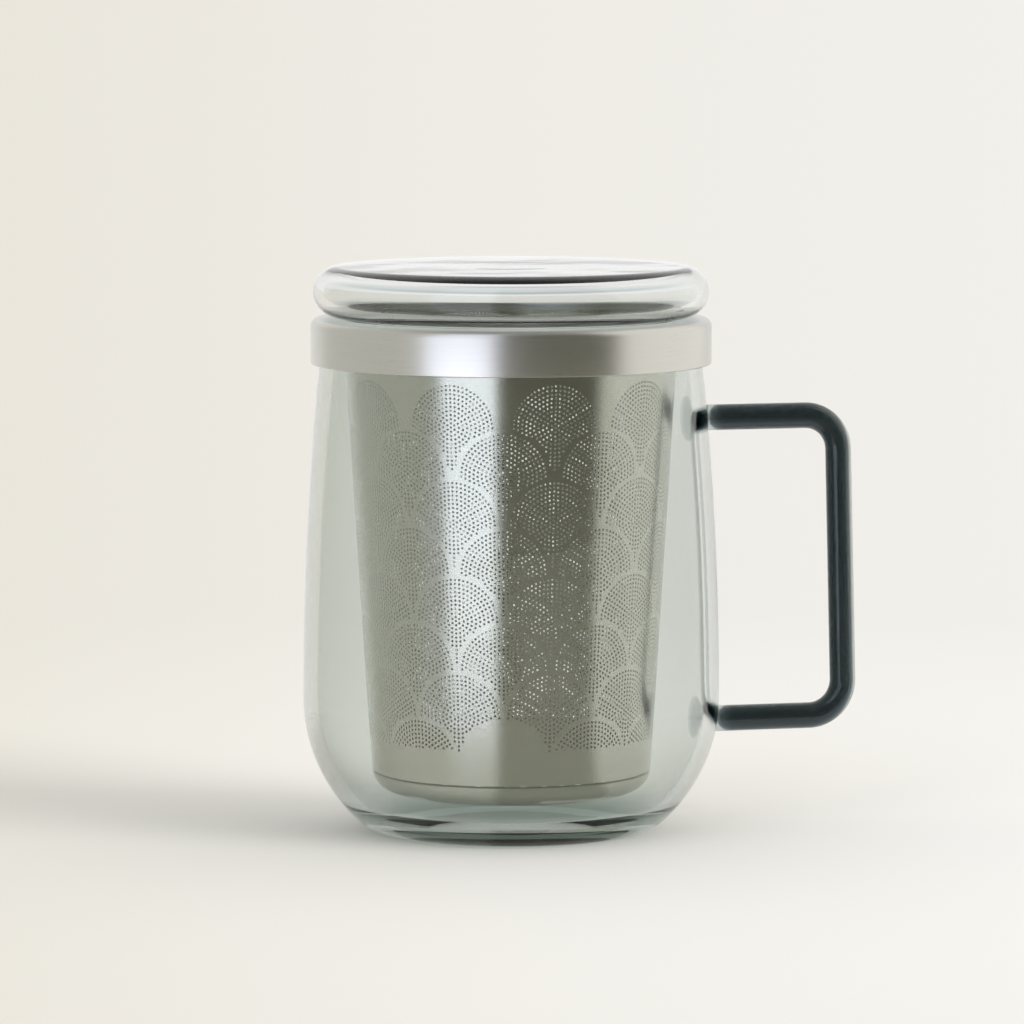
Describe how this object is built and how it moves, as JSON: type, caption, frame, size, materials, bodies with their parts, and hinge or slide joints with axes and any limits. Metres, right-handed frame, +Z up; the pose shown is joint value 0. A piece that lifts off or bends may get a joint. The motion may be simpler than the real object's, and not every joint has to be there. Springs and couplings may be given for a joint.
{
  "type": "lidded tea mug with infuser",
  "caption": "Smoked glass tea mug with a bent rod handle, a perforated steel infuser basket that hangs from its rim, and a hollow clear glass lift-off lid.",
  "frame": {"origin": "on the cup's axis, in the plane that the foot stands on", "axes": "+Z up along the cup's axis, +X towards the handle, +Y to the handle's left when seen from above with +X up the page"},
  "size_m": [0.1287, 0.094, 0.1275],
  "materials": {
    "smoke_glass": "polished, grey-green tint",
    "dark_glass": "polished, deep blue-grey tint",
    "brushed_steel": "brushed around the axis",
    "clear_glass": "polished, nearly clear"
  },
  "bodies": {
    "mug": {"cup": "smoke_glass", "handle": "dark_glass"},
    "infuser": {"collar": "brushed_steel", "basket_wall": "brushed_steel", "basket_floor": "brushed_steel"},
    "lid": {"lid_bottom": "clear_glass", "lid_top": "clear_glass"}
  },
  "joints": [
    {"name": "infuser_lift", "type": "slide", "parent": "mug", "child": "infuser", "axis": [0, 0, 1], "range_m": [0, 0.12]},
    {"name": "lid_lift", "type": "slide", "parent": "infuser", "child": "lid", "axis": [0, 0, 1], "range_m": [0, 0.05]}
  ]
}
